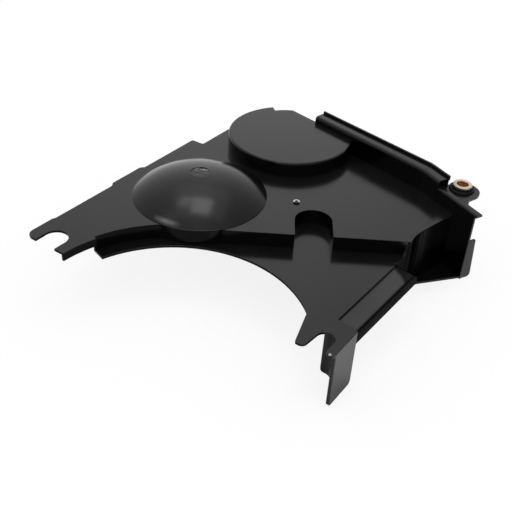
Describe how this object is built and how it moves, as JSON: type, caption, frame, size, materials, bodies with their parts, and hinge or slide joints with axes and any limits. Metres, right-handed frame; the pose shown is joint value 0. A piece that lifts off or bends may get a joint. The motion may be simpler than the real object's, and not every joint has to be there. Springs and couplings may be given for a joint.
{
  "type": "engine timing cover",
  "caption": "Black moulded timing cover: a stepped thin-wall shell with a raised disc, a dome, an open pulley arc, slotted fixing ears and a rubber-mounted sleeve.",
  "frame": {"origin": "centre of the fixing sleeve's lower seat face, on its bore axis and level with the upper plate's top face", "axes": "+Z along the sleeve's bore, away from the engine; +X along the front step towards the side wall; +Y from the pulley opening towards the disc"},
  "size_m": [0.254, 0.2304, 0.0595],
  "materials": {
    "cover_plastic": "black moulded plastic with a satin gloss",
    "grommet_rubber": "black rubber",
    "sleeve_metal": "yellow metal sleeve, turned"
  },
  "bodies": {
    "root": {"cover": "cover_plastic", "bush_grommet": "grommet_rubber", "bush_sleeve": "sleeve_metal"}
  },
  "joints": []
}
